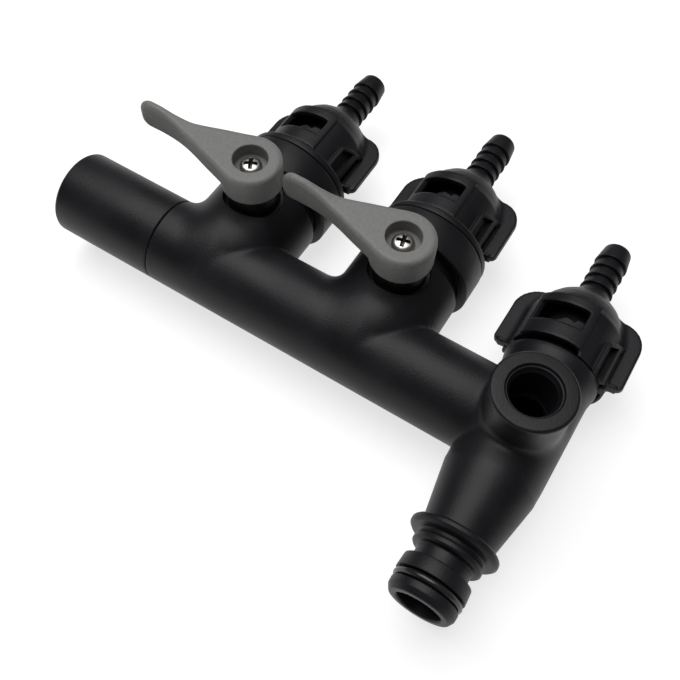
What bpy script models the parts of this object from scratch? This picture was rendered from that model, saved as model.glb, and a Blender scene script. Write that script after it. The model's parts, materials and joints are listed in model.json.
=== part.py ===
"""Sprayer hose splitter: a moulded manifold with two lever ball valves and one straight outlet.

A 30 mm pipe runs along X. Three outlets point along +Y, and the quick-connect inlet points along -Y.
Sizes are in millimetres and are turned into metres as each mesh is made. The design frame has its
origin where the pipe axis crosses the axis of the third outlet, and an empty moves the whole model
so that the world origin is the middle of its underside.
"""
import math

import bmesh
import bpy
from mathutils import Matrix

MM = 0.001

# Facets around the turned shapes.
BODY_STEPS = 24
RING_STEPS = 18
SMALL_STEPS = 10
TUBE_STEPS = 5
ARC_STEP = 15.0
MERGE = 0.000002
SHARP_ANGLE = math.radians(35.0)

# Main pipe, along X.
PIPE_R = 15.0
PIPE_BORE_R = 11.0
PIPE_END_X = -175.3
SEAM_X = -135.0
SEAM_GAP = 0.3
CAP_WALL = 4.4
EDGE = 1.0

# Outlets, along Y.
PITCH = 57.0
VALVE_X = (-2.0 * PITCH, -PITCH)
OUTLET_SHIFT = 23.8
CLEAR = 0.3

# Valve barrel, ball and stem. The stem axis is vertical and crosses the barrel axis.
STEM_Y = 21.7
BARREL_R = 19.0
BARREL_END = 30.0
SPIGOT_R = 17.0
SPIGOT_END = 40.0
CAVITY_R = 11.3
CAVITY_START = 10.9
PLUG_BORE_R = 14.6
PLUG_BORE_START = 32.6
PORT_R = 7.5
BALL_R = 9.5
BALL_BORE_R = 4.75
SEAT_R = 10.9
SEAT_SPHERE_R = 10.0
SEAT_RIM_R = 8.6
SEAT_MID_R = 7.0
SEAT_BORE_R = 5.0
SEAT_BACK = 10.5
STEM_R = 4.5
STEM_BORE_R = 4.9
STEM_BOSS_R = 11.2
STEM_BOSS_TOP = 23.2
STEM_SHOULDER_TOP = 13.2
SCREW_HOLE_R = 1.8

# Lever, with its hub on the stem axis and its arm along -X when the valve is closed.
HUB_R = 10.5
HUB_BOTTOM = 24.1
HUB_TOP = 34.9
RECESS_R = 5.8
RECESS_FLOOR = 30.0
SOCKET_TOP = 28.8
STEM_SQUARE = 5.4
LEVER_LENGTH = 44.4
LEVER_PEAK = 37.7
BLADE_HALF = 1.4
ARM_BOTTOM = 27.0
SCREW_HEAD_R = 3.6

# Outlet collar and bayonet nose.
COLLAR_R = 20.8
COLLAR_START = 33.3
COLLAR_END = 45.0
FLANGE_R = 20.6
SHOULDER_Y = 24.4
NOSE_R = 12.4
NOSE_END = 44.0
NOSE_BORE_R = 8.5
LUG_R = 13.7
LUG_Y = (33.1, 36.5)
STOP_R = 16.8
LOCK_SPAN = (-50.0, 8.5)

# Twist-lock cap, in its own frame: its wings lie along X and its windows face up and down.
CAP_R = 16.2
CAP_BORE_R = 14.3
CAP_START = 24.7
PANEL_R = 17.2
PANEL_SPAN = (-51.0, 22.5)
PANEL_END = 44.6
WINDOW_SPAN = (-44.5, 15.0)
WINDOW_Y = (32.9, 40.8)
RIM_CUT_SPAN = (-68.5, 23.5)
RIM_CUT_END = 26.8
LIP_R = 12.8
LIP_Y = (28.0, 32.7)
WING_R = 22.5
WING_HALF = 1.3
WING_Y = (26.9, 52.3)
BARB_EDGES = (73.3, 69.0, 64.6, 60.2)
BARB_TIP = 80.3
BARB_R = 5.85
BARB_ROOT_R = 4.95
BARB_BORE_R = 3.2
CAP_REST_TURN = (-6.0, -9.0, -8.5)

# Third outlet and inlet, one straight tube along Y.
BRANCH_R = 15.2
BRANCH_BORE_R = 11.2
INLET_END = -64.3
INLET_BORE_R = 7.2
GAUGE_X = -0.5
GAUGE_Y = -1.0
GAUGE_R = 13.2
GAUGE_TOP = 29.0
GAUGE_STEP_R = 8.8
GAUGE_HOLE_R = 7.0

# World origin: the middle of the underside. The third cap's wing is the model's end along +X.
LAST_TURN = math.radians(abs(CAP_REST_TURN[-1]))
WING_REACH = WING_R * math.cos(LAST_TURN) + WING_HALF * math.sin(LAST_TURN)
ORIGIN = (
    -(PIPE_END_X + WING_REACH) / 2.0,
    -(INLET_END + BARB_TIP + OUTLET_SHIFT) / 2.0,
    COLLAR_R,
)

# Rotations that lay a turned shape's axis, local Z, along another axis.
ALONG_X = (0.0, math.radians(90.0), 0.0)
ALONG_Y = (math.radians(-90.0), 0.0, 0.0)
ALONG_Z = (0.0, 0.0, 0.0)


# ---------------------------------------------------------------- scene and materials

def clear_scene():
    """Remove every object of the start-up scene."""
    for item in list(bpy.data.objects):
        bpy.data.objects.remove(item, do_unlink=True)


def new_collection(name):
    """Return a new collection under the scene."""
    group = bpy.data.collections.new(name)
    bpy.context.scene.collection.children.link(group)
    return group


def new_material(name, colour, roughness, metallic=0.0):
    """Return a Principled material."""
    material = bpy.data.materials.new(name)
    material.use_nodes = True
    shader = material.node_tree.nodes["Principled BSDF"]
    shader.inputs["Base Color"].default_value = (*colour, 1.0)
    shader.inputs["Roughness"].default_value = roughness
    shader.inputs["Metallic"].default_value = metallic
    return material


clear_scene()
PARTS = new_collection("hose_splitter")

BLACK = new_material("black_nylon", (0.018, 0.019, 0.021), 0.42)
GREY = new_material("grey_nylon", (0.21, 0.22, 0.22), 0.48)
STEEL = new_material("stainless_steel", (0.62, 0.61, 0.58), 0.28, 1.0)
RUBBER = new_material("black_rubber", (0.012, 0.012, 0.013), 0.35)
WHITE = new_material("white_ptfe", (0.80, 0.79, 0.76), 0.45)
BALL = new_material("pale_acetal", (0.55, 0.54, 0.50), 0.35)


def empty(name, parent, location):
    """Return an empty at a place in its parent's frame, in millimetres."""
    node = bpy.data.objects.new(name, None)
    node.empty_display_size = 10.0 * MM
    node.location = [value * MM for value in location]
    node.parent = parent
    PARTS.objects.link(node)
    return node


# ---------------------------------------------------------------- shapes

def turned(name, profile, steps, parent, location=(0.0, 0.0, 0.0), rotation=ALONG_Z):
    """Spin (radius, height) points about local Z. They run down the outer side, top to bottom.

    A profile that starts on the axis ends on it too. Any other profile closes on itself as a ring.
    """
    mesh = bpy.data.meshes.new(name)
    points = [(radius * MM, 0.0, height * MM) for radius, height in profile]
    edges = [(index, index + 1) for index in range(len(points) - 1)]
    if profile[0][0] > 0.0:
        edges.append((len(points) - 1, 0))
    mesh.from_pydata(points, edges, [])
    item = bpy.data.objects.new(name, mesh)
    PARTS.objects.link(item)
    screw = item.modifiers.new("spin", "SCREW")
    screw.axis = "Z"
    screw.angle = math.tau
    screw.steps = steps
    screw.render_steps = steps
    screw.use_merge_vertices = True
    screw.merge_threshold = 0.00005
    item.parent = parent
    item.location = [value * MM for value in location]
    item.rotation_euler = rotation
    return item


def prism(name, outline, low, high, parent, location=(0.0, 0.0, 0.0), rotation=ALONG_Z):
    """Extrude a flat (x, y) outline from low to high along local Z, as a mesh object."""
    curve = bpy.data.curves.new(name, "CURVE")
    curve.dimensions = "2D"
    curve.fill_mode = "BOTH"
    curve.extrude = (high - low) * MM / 2.0
    spline = curve.splines.new("POLY")
    spline.points.add(len(outline) - 1)
    for point, (across, along) in zip(spline.points, outline):
        point.co = (across * MM, along * MM, 0.0, 1.0)
    spline.use_cyclic_u = True
    source = bpy.data.objects.new(name + "_outline", curve)
    PARTS.objects.link(source)
    bpy.context.view_layer.update()
    evaluated = source.evaluated_get(bpy.context.evaluated_depsgraph_get())
    mesh = bpy.data.meshes.new_from_object(evaluated)
    bpy.data.objects.remove(source, do_unlink=True)
    shape = bmesh.new()
    shape.from_mesh(mesh)
    bmesh.ops.remove_doubles(shape, verts=shape.verts, dist=0.000001)
    bmesh.ops.recalc_face_normals(shape, faces=shape.faces)
    shape.transform(Matrix.Translation((0.0, 0.0, (low + high) * MM / 2.0)))
    shape.to_mesh(mesh)
    shape.free()
    item = bpy.data.objects.new(name, mesh)
    PARTS.objects.link(item)
    item.parent = parent
    item.location = [value * MM for value in location]
    item.rotation_euler = rotation
    return item


def arc(centre, radius, start, end, step=ARC_STEP):
    """Return points on an arc, with its angles in degrees."""
    count = max(2, math.ceil(abs(end - start) / step))
    points = []
    for index in range(count + 1):
        angle = math.radians(start + (end - start) * index / count)
        points.append((centre[0] + radius * math.cos(angle), centre[1] + radius * math.sin(angle)))
    return points


def sector(name, radii, span, reach, parent, turn=0.0):
    """Return part of a ring about the parent's Y axis.

    The span is in degrees from +Z towards +X, and the reach is the ring's start and end along Y.
    Laid along Y, local X stays X and local Y becomes -Z, so an angle from +Z becomes that angle - 90.
    """
    start, end = span[0] + turn - 90.0, span[1] + turn - 90.0
    outline = arc((0.0, 0.0), radii[1], start, end) + arc((0.0, 0.0), radii[0], end, start)
    return prism(name, outline, reach[0], reach[1], parent, rotation=ALONG_Y)


def box(name, low, high, parent):
    """Return a box between two corners in the parent's frame."""
    outline = [(low[0], low[1]), (high[0], low[1]), (high[0], high[1]), (low[0], high[1])]
    return prism(name, outline, low[2], high[2], parent)


def apply_modifiers(item):
    """Replace an object's mesh with its evaluated mesh, cleaned of slivers."""
    bpy.context.view_layer.update()
    evaluated = item.evaluated_get(bpy.context.evaluated_depsgraph_get())
    mesh = bpy.data.meshes.new_from_object(evaluated)
    shape = bmesh.new()
    shape.from_mesh(mesh)
    bmesh.ops.remove_doubles(shape, verts=shape.verts, dist=MERGE)
    bmesh.ops.dissolve_degenerate(shape, edges=shape.edges, dist=MERGE)
    shape.to_mesh(mesh)
    shape.free()
    item.modifiers.clear()
    item.data = mesh


def combine(target, tool, operation):
    """Join a tool to a target, or cut or clip the target with it, and remove the tool."""
    step = target.modifiers.new(tool.name, "BOOLEAN")
    step.operation = operation
    step.object = tool
    apply_modifiers(target)
    bpy.data.objects.remove(tool, do_unlink=True)


def join(target, *tools):
    """Join tools to a target."""
    for tool in tools:
        combine(target, tool, "UNION")


def cut(target, *tools):
    """Cut tools out of a target."""
    for tool in tools:
        combine(target, tool, "DIFFERENCE")


def solid_rod(radius, low, high):
    """Return the profile of a plain rod."""
    return [(0.0, high), (radius, high), (radius, low), (0.0, low)]


def o_ring(name, middle_r, section_r, steps, parent, location, rotation=ALONG_Z):
    """Return a rubber ring with a round section."""
    profile = []
    for index in range(TUBE_STEPS):
        angle = math.radians(90.0 - 360.0 * index / TUBE_STEPS)
        profile.append((middle_r + section_r * math.cos(angle), section_r * math.sin(angle)))
    return finish(turned(name, profile, steps, parent, location, rotation), RUBBER)


def finish(item, material):
    """Give a piece its material and its shading: round sides smooth, real edges sharp."""
    apply_modifiers(item)
    item.data.materials.append(material)
    item.data.shade_smooth()
    item.data.set_sharp_from_angle(angle=SHARP_ANGLE)
    return item


# ---------------------------------------------------------------- manifold body

def branch_profile():
    """Return the outer profile of the straight tube: bayonet nose, stop ring, cone and inlet spigot."""
    nose = [
        (0.0, NOSE_END),
        (NOSE_R - 0.5, NOSE_END),
        (NOSE_R, NOSE_END - 0.5),
        (NOSE_R, SHOULDER_Y),
        (STOP_R, SHOULDER_Y),
        (STOP_R, 22.9),
        (STOP_R - 0.5, 22.4),
        (BRANCH_R, 22.3),
    ]
    cone = [(BRANCH_R, -18.0), (11.6, -39.8), (11.6, -41.2)]
    flanges = [
        (13.6, -41.3),
        (14.3, -42.1),
        (14.3, -43.2),
        (13.4, -44.0),
        (10.4, -44.2),
        (10.4, -45.8),
        (11.2, -46.5),
        (11.2, -47.4),
        (10.6, -48.1),
        (8.85, -48.3),
    ]
    spigot = [
        (8.85, -52.4),
        (10.9, -52.7),
        (10.9, -57.2),
        (8.7, -57.3),
        (8.7, -60.3),
        (10.8, -60.4),
        (10.8, -61.5),
        (9.4, INLET_END),
        (0.0, INLET_END),
    ]
    return nose + cone + flanges + spigot


def barrel_profile():
    """Return the outer profile of a valve barrel, from its weld spigot to its root in the pipe."""
    return [
        (0.0, SPIGOT_END),
        (SPIGOT_R, SPIGOT_END),
        (SPIGOT_R, BARREL_END + 0.2),
        (BARREL_R - 0.6, BARREL_END),
        (BARREL_R, BARREL_END - 0.6),
        (BARREL_R, 8.0),
        (18.3, 3.0),
        (16.7, -1.0),
        (13.9, -5.0),
        (10.0, -8.0),
        (0.0, -11.0),
    ]


def boss_profile(radius, top, root):
    """Return the profile of an upright boss with a bevelled top edge."""
    return [(0.0, top), (radius - EDGE, top), (radius, top - EDGE), (radius, root), (0.0, root)]


def make_body(frame):
    """Return the one-piece moulded body with its pipe, barrels, bosses, nose and inlet."""
    body = turned("manifold_body", branch_profile(), BODY_STEPS, frame, rotation=ALONG_Y)
    pipe = solid_rod(PIPE_R, SEAM_X + SEAM_GAP / 2.0, 0.0)
    join(body, turned("pipe_outer", pipe, BODY_STEPS, frame, rotation=ALONG_X))
    gauge = boss_profile(GAUGE_R, GAUGE_TOP, 5.0)
    join(body, turned("gauge_boss", gauge, BODY_STEPS, frame, (GAUGE_X, GAUGE_Y, 0.0)))
    for number, x in enumerate(VALVE_X, 1):
        barrel = turned(f"barrel_{number}", barrel_profile(), BODY_STEPS, frame, (x, 0.0, 0.0), ALONG_Y)
        boss_shape = boss_profile(STEM_BOSS_R, STEM_BOSS_TOP, 5.0)
        boss = turned(f"stem_boss_{number}", boss_shape, RING_STEPS, frame, (x, STEM_Y, 0.0))
        join(body, barrel, boss)
    for side in (0.0, 180.0):
        lug = sector(f"body_lug_{side:.0f}", (NOSE_R - 1.0, LUG_R), LOCK_SPAN, LUG_Y, frame, side)
        join(body, lug)

    pipe_bore = solid_rod(PIPE_BORE_R, SEAM_X - 5.0, 0.0)
    cut(body, turned("pipe_bore", pipe_bore, RING_STEPS, frame, rotation=ALONG_X))
    branch_bore = [
        (0.0, NOSE_END + 5.0),
        (NOSE_BORE_R, NOSE_END + 5.0),
        (NOSE_BORE_R, 20.0),
        (BRANCH_BORE_R, 16.0),
        (BRANCH_BORE_R, -20.0),
        (INLET_BORE_R, -42.0),
        (INLET_BORE_R, INLET_END - 5.0),
        (0.0, INLET_END - 5.0),
    ]
    cut(body, turned("branch_bore", branch_bore, RING_STEPS, frame, rotation=ALONG_Y))
    gauge_hole = [
        (0.0, GAUGE_TOP + 5.0),
        (GAUGE_STEP_R, GAUGE_TOP + 5.0),
        (GAUGE_STEP_R, GAUGE_TOP - 0.9),
        (GAUGE_HOLE_R, GAUGE_TOP - 1.2),
        (GAUGE_HOLE_R, 5.0),
        (0.0, 5.0),
    ]
    cut(body, turned("gauge_hole", gauge_hole, RING_STEPS, frame, (GAUGE_X, GAUGE_Y, 0.0)))
    valve_bore = [
        (0.0, SPIGOT_END + 5.0),
        (PLUG_BORE_R, SPIGOT_END + 5.0),
        (PLUG_BORE_R, PLUG_BORE_START),
        (CAVITY_R, PLUG_BORE_START),
        (CAVITY_R, CAVITY_START),
        (PORT_R, CAVITY_START),
        (PORT_R, 0.0),
        (0.0, 0.0),
    ]
    stem_bore = [
        (0.0, STEM_BOSS_TOP + 5.0),
        (STEM_BORE_R, STEM_BOSS_TOP + 5.0),
        (STEM_BORE_R, STEM_SHOULDER_TOP + CLEAR),
        (STEM_BORE_R + 1.0, STEM_SHOULDER_TOP + CLEAR),
        (STEM_BORE_R + 1.0, 3.0),
        (0.0, 3.0),
    ]
    for number, x in enumerate(VALVE_X, 1):
        cut(body, turned(f"valve_bore_{number}", valve_bore, RING_STEPS, frame, (x, 0.0, 0.0), ALONG_Y))
        cut(body, turned(f"stem_bore_{number}", stem_bore, RING_STEPS, frame, (x, STEM_Y, 0.0)))
    return finish(body, BLACK)


def make_end_cap(frame):
    """Return the closed tube that is spin-welded on the pipe's end."""
    profile = [
        (0.0, PIPE_END_X + CAP_WALL),
        (PIPE_BORE_R, PIPE_END_X + CAP_WALL),
        (PIPE_BORE_R, SEAM_X - SEAM_GAP / 2.0),
        (PIPE_R, SEAM_X - SEAM_GAP / 2.0),
        (PIPE_R, PIPE_END_X + EDGE),
        (PIPE_R - EDGE, PIPE_END_X),
        (0.0, PIPE_END_X),
    ]
    return finish(turned("end_cap", profile, BODY_STEPS, frame, rotation=ALONG_X), BLACK)


# ---------------------------------------------------------------- valve

def make_ball(name, axis):
    """Return the ball: its bore lies across the flow, and a slot on top takes the stem's tongue."""
    count = 9
    profile = []
    for index in range(count + 1):
        angle = math.pi * index / count
        profile.append((BALL_R * math.sin(angle), BALL_R * math.cos(angle)))
    profile[0] = (0.0, BALL_R)
    profile[-1] = (0.0, -BALL_R)
    ball = turned(name, profile, RING_STEPS, axis)
    bore = solid_rod(BALL_BORE_R, -BALL_R - 2.0, BALL_R + 2.0)
    cut(ball, turned(name + "_bore", bore, RING_STEPS, axis, rotation=ALONG_X))
    cut(ball, box(name + "_slot", (-1.8, -BALL_R - 1.0, 7.2), (1.8, BALL_R + 1.0, BALL_R + 1.0), axis))
    return finish(ball, BALL)


def make_seat(name, frame, location, facing):
    """Return a seat ring whose hollow face fits the ball. Facing is +1 towards +Y, or -1."""
    near = math.sqrt(SEAT_SPHERE_R ** 2 - SEAT_RIM_R ** 2)
    mid = math.sqrt(SEAT_SPHERE_R ** 2 - SEAT_MID_R ** 2)
    inner = math.sqrt(SEAT_SPHERE_R ** 2 - SEAT_BORE_R ** 2)
    profile = [
        (SEAT_R, SEAT_BACK),
        (SEAT_R, near),
        (SEAT_RIM_R, near),
        (SEAT_MID_R, mid),
        (SEAT_BORE_R, inner),
        (SEAT_BORE_R, SEAT_BACK),
    ]
    turn = ALONG_Y if facing > 0 else (math.radians(90.0), 0.0, 0.0)
    return finish(turned(name, profile, RING_STEPS, frame, location, turn), WHITE)


def make_stem(name, axis):
    """Return the stem: tongue, retaining shoulder, two ring grooves and a square drive."""
    profile = [
        (0.0, 24.4),
        (STEM_R - 0.4, 24.4),
        (STEM_R, 24.0),
        (STEM_R, 21.6),
        (3.0, 21.5),
        (3.0, 19.6),
        (STEM_R, 19.5),
        (STEM_R, 17.6),
        (3.0, 17.5),
        (3.0, 15.6),
        (STEM_R, 15.5),
        (STEM_R, STEM_SHOULDER_TOP),
        (STEM_R + 1.1, STEM_SHOULDER_TOP),
        (STEM_R + 1.1, 11.2),
        (0.0, 11.2),
    ]
    stem = turned(name, profile, RING_STEPS, axis)
    half = STEM_SQUARE / 2.0
    join(stem, box(name + "_square", (-half, -half, 22.0), (half, half, SOCKET_TOP - CLEAR), axis))
    join(stem, box(name + "_tongue", (-1.5, -3.9, 7.6), (1.5, 3.9, 12.0), axis))
    hole = solid_rod(SCREW_HOLE_R, 17.4, SOCKET_TOP + 2.0)
    cut(stem, turned(name + "_hole", hole, SMALL_STEPS, axis))
    return finish(stem, BLACK)


def lever_plan():
    """Return the lever arm seen from above: tangents from the hub that sweep into a thin blade."""
    slope = 19.6
    tangent = 90.0 + slope
    start_x = HUB_R * math.cos(math.radians(tangent)) - 1.0
    half = [(0.0, 10.0), (start_x, 9.55), (-17.0, 5.2), (-24.0, 2.75), (-28.0, 1.8), (-32.0, BLADE_HALF)]
    half.append((-LEVER_LENGTH - 1.0, BLADE_HALF))
    return half + [(x, -y) for x, y in reversed(half)]


def lever_side():
    """Return the lever arm seen from the side: flat by the hub, then a raised round-ended blade."""
    top = [(0.0, HUB_TOP), (-26.0, HUB_TOP), (-29.5, 35.3), (-33.0, 36.3), (-36.5, 37.25)]
    tip = arc((4.4 - LEVER_LENGTH, LEVER_PEAK - 4.4), 4.4, 100.0, 180.0, 16.0)
    heel = arc((-LEVER_LENGTH + 3.2, 26.2 + 3.2), 3.2, 180.0, 270.0, 18.0)
    return top + tip + heel + [(-20.0, ARM_BOTTOM), (0.0, ARM_BOTTOM)]


def make_lever(name, axis):
    """Return the lever, with a recess for its screw and a square socket for the stem."""
    arm = prism(name, lever_plan(), ARM_BOTTOM - 2.0, LEVER_PEAK + 1.0, axis)
    side = prism(name + "_side", [(x, z) for x, z in lever_side()], -12.0, 12.0, axis)
    side.rotation_euler = (math.radians(90.0), 0.0, 0.0)
    combine(arm, side, "INTERSECT")
    hub = [
        (0.0, HUB_TOP),
        (HUB_R - 0.8, HUB_TOP),
        (HUB_R, HUB_TOP - 0.8),
        (HUB_R, HUB_BOTTOM),
        (0.0, HUB_BOTTOM),
    ]
    join(arm, turned(name + "_hub", hub, BODY_STEPS, axis))
    recess = [
        (0.0, HUB_TOP + 4.0),
        (RECESS_R, HUB_TOP + 4.0),
        (RECESS_R, RECESS_FLOOR),
        (SCREW_HOLE_R + 0.2, RECESS_FLOOR),
        (SCREW_HOLE_R + 0.2, SOCKET_TOP - 1.0),
        (0.0, SOCKET_TOP - 1.0),
    ]
    cut(arm, turned(name + "_recess", recess, RING_STEPS, axis))
    half = STEM_SQUARE / 2.0 + CLEAR
    cut(arm, box(name + "_socket", (-half, -half, HUB_BOTTOM - 2.0), (half, half, SOCKET_TOP), axis))
    well = solid_rod(STEM_R + 0.6, HUB_BOTTOM - 4.0, HUB_BOTTOM + 0.9)
    cut(arm, turned(name + "_well", well, RING_STEPS, axis))
    return finish(arm, GREY)


def make_screw(name, axis):
    """Return the pan-head screw with its cross recess."""
    low = RECESS_FLOOR + CLEAR
    profile = [
        (0.0, low + 2.6),
        (1.6, low + 2.45),
        (2.8, low + 1.9),
        (SCREW_HEAD_R, low + 1.0),
        (SCREW_HEAD_R, low),
        (1.5, low),
        (1.5, 19.0),
        (0.6, 17.9),
        (0.0, 17.9),
    ]
    screw = turned(name, profile, SMALL_STEPS, axis)
    cut(screw, box(name + "_slot_x", (-2.2, -0.45, low + 1.1), (2.2, 0.45, low + 4.0), axis))
    cut(screw, box(name + "_slot_y", (-0.45, -2.2, low + 1.1), (0.45, 2.2, low + 4.0), axis))
    return finish(screw, STEEL)


def make_collar(name, frame, x):
    """Return the collar that is welded over the barrel's spigot."""
    inner = SPIGOT_R + CLEAR
    profile = [
        (COLLAR_R - 0.6, COLLAR_END),
        (COLLAR_R, COLLAR_END - 0.6),
        (COLLAR_R, COLLAR_START + 0.6),
        (COLLAR_R - 0.6, COLLAR_START),
        (inner, COLLAR_START),
        (inner, COLLAR_END),
    ]
    return finish(turned(name, profile, BODY_STEPS, frame, (x, 0.0, 0.0), ALONG_Y), BLACK)


def make_nose(name, frame, x):
    """Return the outlet nose: sealing plug, flange, tube and two bayonet lugs."""
    shoulder = SHOULDER_Y + OUTLET_SHIFT
    plug_r = PLUG_BORE_R - CLEAR
    profile = [
        (NOSE_R - 0.5, NOSE_END + OUTLET_SHIFT),
        (NOSE_R, NOSE_END + OUTLET_SHIFT - 0.5),
        (NOSE_R, shoulder),
        (FLANGE_R - 0.6, shoulder),
        (FLANGE_R, shoulder - 0.6),
        (FLANGE_R, COLLAR_END + 0.4),
        (SPIGOT_R, COLLAR_END + 0.4),
        (SPIGOT_R, SPIGOT_END + CLEAR),
        (plug_r, SPIGOT_END + CLEAR),
        (plug_r, 38.3),
        (12.3, 38.3),
        (12.3, 35.7),
        (plug_r, 35.7),
        (plug_r, PLUG_BORE_START + CLEAR),
        (PORT_R, PLUG_BORE_START + CLEAR),
        (PORT_R, NOSE_END + OUTLET_SHIFT),
    ]
    nose = turned(name, profile, BODY_STEPS, frame, (x, 0.0, 0.0), ALONG_Y)
    reach = [value + OUTLET_SHIFT for value in LUG_Y]
    for side in (0.0, 180.0):
        lug = sector(f"{name}_lug_{side:.0f}", (NOSE_R - 1.0, LUG_R), LOCK_SPAN, reach, frame, side)
        lug.location.x = x * MM
        join(nose, lug)
    return finish(nose, BLACK)


def make_valve(number, x, frame):
    """Make every piece of one ball valve. What turns with the lever sits on the stem axis."""
    name = f"valve_{number}_"
    axis = empty(name + "stem_axis", frame, (x, STEM_Y, 0.0))
    make_ball(name + "ball", axis)
    make_stem(name + "stem", axis)
    o_ring(name + "stem_o_ring_lower", 3.95, 0.62, SMALL_STEPS, axis, (0.0, 0.0, 16.55))
    o_ring(name + "stem_o_ring_upper", 3.95, 0.62, SMALL_STEPS, axis, (0.0, 0.0, 20.55))
    make_lever(name + "lever", axis)
    make_screw(name + "lever_screw", axis)
    make_seat(name + "inner_seat", frame, (x, STEM_Y, 0.0), -1)
    make_seat(name + "outer_seat", frame, (x, STEM_Y, 0.0), 1)
    make_collar(name + "collar", frame, x)
    make_nose(name + "outlet_nose", frame, x)
    o_ring(name + "nose_o_ring", 13.4, 0.8, RING_STEPS, frame, (x, 37.0, 0.0), ALONG_Y)


# ---------------------------------------------------------------- outlet caps

def cap_profile():
    """Return the cap's ring profile: barbs, dome and skirt outside, then the bore inside."""
    points = [(4.5, BARB_TIP), (4.8, BARB_TIP - 0.3)]
    for edge in BARB_EDGES:
        points.append((BARB_R, edge))
        points.append((BARB_ROOT_R, edge - 0.1))
    points += [(5.3, 59.6), (6.1, 58.0), (7.3, 56.0), (9.1, 53.9), (11.4, 51.6), (12.9, 49.0), (14.4, 46.4)]
    points += [(CAP_R, 43.6), (CAP_R, CAP_START), (CAP_BORE_R, CAP_START)]
    points += [(CAP_BORE_R, 43.4), (12.75, 43.4), (12.75, 46.6)]
    points += [(7.0, 46.6), (BARB_BORE_R, 53.0), (BARB_BORE_R, BARB_TIP)]
    return points


def wing_outline(side):
    """Return one wing's outline. It starts inside the skirt's wall and the dome. Side is +1 or -1."""
    low, high = WING_Y
    root = (CAP_R + CAP_BORE_R) / 2.0
    points = [(root, low), (20.6, low)]
    points += arc((WING_R - 2.3, low + 2.3), 2.3, -90.0, 0.0, 30.0)[1:]
    points += arc((WING_R - 9.2, high - 9.0), 9.0, 0.0, 90.0, 18.0)
    points += [(10.0, high), (10.0, 47.8), (13.3, 47.0), (13.9, 45.5), (root, 43.0)]
    if side < 0:
        points = [(-x, y) for x, y in reversed(points)]
    return points


def make_cap(name, axis, shift):
    """Return a twist-lock cap with its wings, windows, locking lips and hose barb in one moulding."""
    cap = turned(name, cap_profile(), RING_STEPS, axis, (0.0, shift, 0.0), ALONG_Y)
    carrier = empty(name + "_cut_frame", axis, (0.0, shift, 0.0))
    for side in (0.0, 180.0):
        label = f"{name}_{side:.0f}"
        panel_reach = (CAP_START, PANEL_END)
        panel = sector(label + "_panel", (CAP_R - 1.0, PANEL_R), PANEL_SPAN, panel_reach, carrier, side)
        lip = sector(label + "_lip", (LIP_R, CAP_BORE_R + 0.6), WINDOW_SPAN, LIP_Y, carrier, side)
        join(cap, panel, lip)
    for side in (1, -1):
        wing = prism(f"{name}_wing_{side}", wing_outline(side), -WING_HALF, WING_HALF, carrier)
        join(cap, wing)
    for side in (0.0, 180.0):
        label = f"{name}_{side:.0f}"
        radii = (CAP_BORE_R - 1.5, PANEL_R + 1.0)
        window = sector(label + "_window", radii, WINDOW_SPAN, WINDOW_Y, carrier, side)
        rim_reach = (CAP_START - 1.0, RIM_CUT_END)
        rim_cut = sector(label + "_rim_cut", radii, RIM_CUT_SPAN, rim_reach, carrier, side)
        cut(cap, window, rim_cut)
    return finish(cap, BLACK)


def make_outlet(number, x, shift, turn, frame):
    """Make one outlet's cap and gasket on the outlet's axis."""
    axis = empty(f"outlet_{number}_axis", frame, (x, 0.0, 0.0))
    axis.rotation_euler = (0.0, math.radians(turn), 0.0)
    make_cap(f"outlet_{number}_cap", axis, shift)
    gasket = [(12.2, 46.3), (12.2, 44.4), (8.6, 44.4), (8.6, 46.3)]
    name = f"outlet_{number}_gasket"
    finish(turned(name, gasket, RING_STEPS, axis, (0.0, shift, 0.0), ALONG_Y), RUBBER)


# ---------------------------------------------------------------- assembly

def main():
    """Build the whole splitter."""
    frame = empty("splitter_frame", None, ORIGIN)
    make_body(frame)
    make_end_cap(frame)
    o_ring("inlet_o_ring", 10.05, 1.05, RING_STEPS, frame, (0.0, -58.8, 0.0), ALONG_Y)
    for number, x in enumerate(VALVE_X, 1):
        make_valve(number, x, frame)
    outlets = [(VALVE_X[0], OUTLET_SHIFT), (VALVE_X[1], OUTLET_SHIFT), (0.0, 0.0)]
    for number, ((x, shift), turn) in enumerate(zip(outlets, CAP_REST_TURN), 1):
        make_outlet(number, x, shift, turn, frame)


main()
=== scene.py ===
"""Looks for the sprayer hose splitter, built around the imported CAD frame.

Shapes are worked out in millimetres in the design frame: the pipe runs along X, the outlets point
along +Y and the levers sit on +Z. Its origin is on the third outlet's axis. Every mesh is written
in metres in the row frame, so no object is moved.
"""
import json
import math

import bmesh
import bpy
import numpy as np
from mathutils import Matrix, Vector


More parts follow.
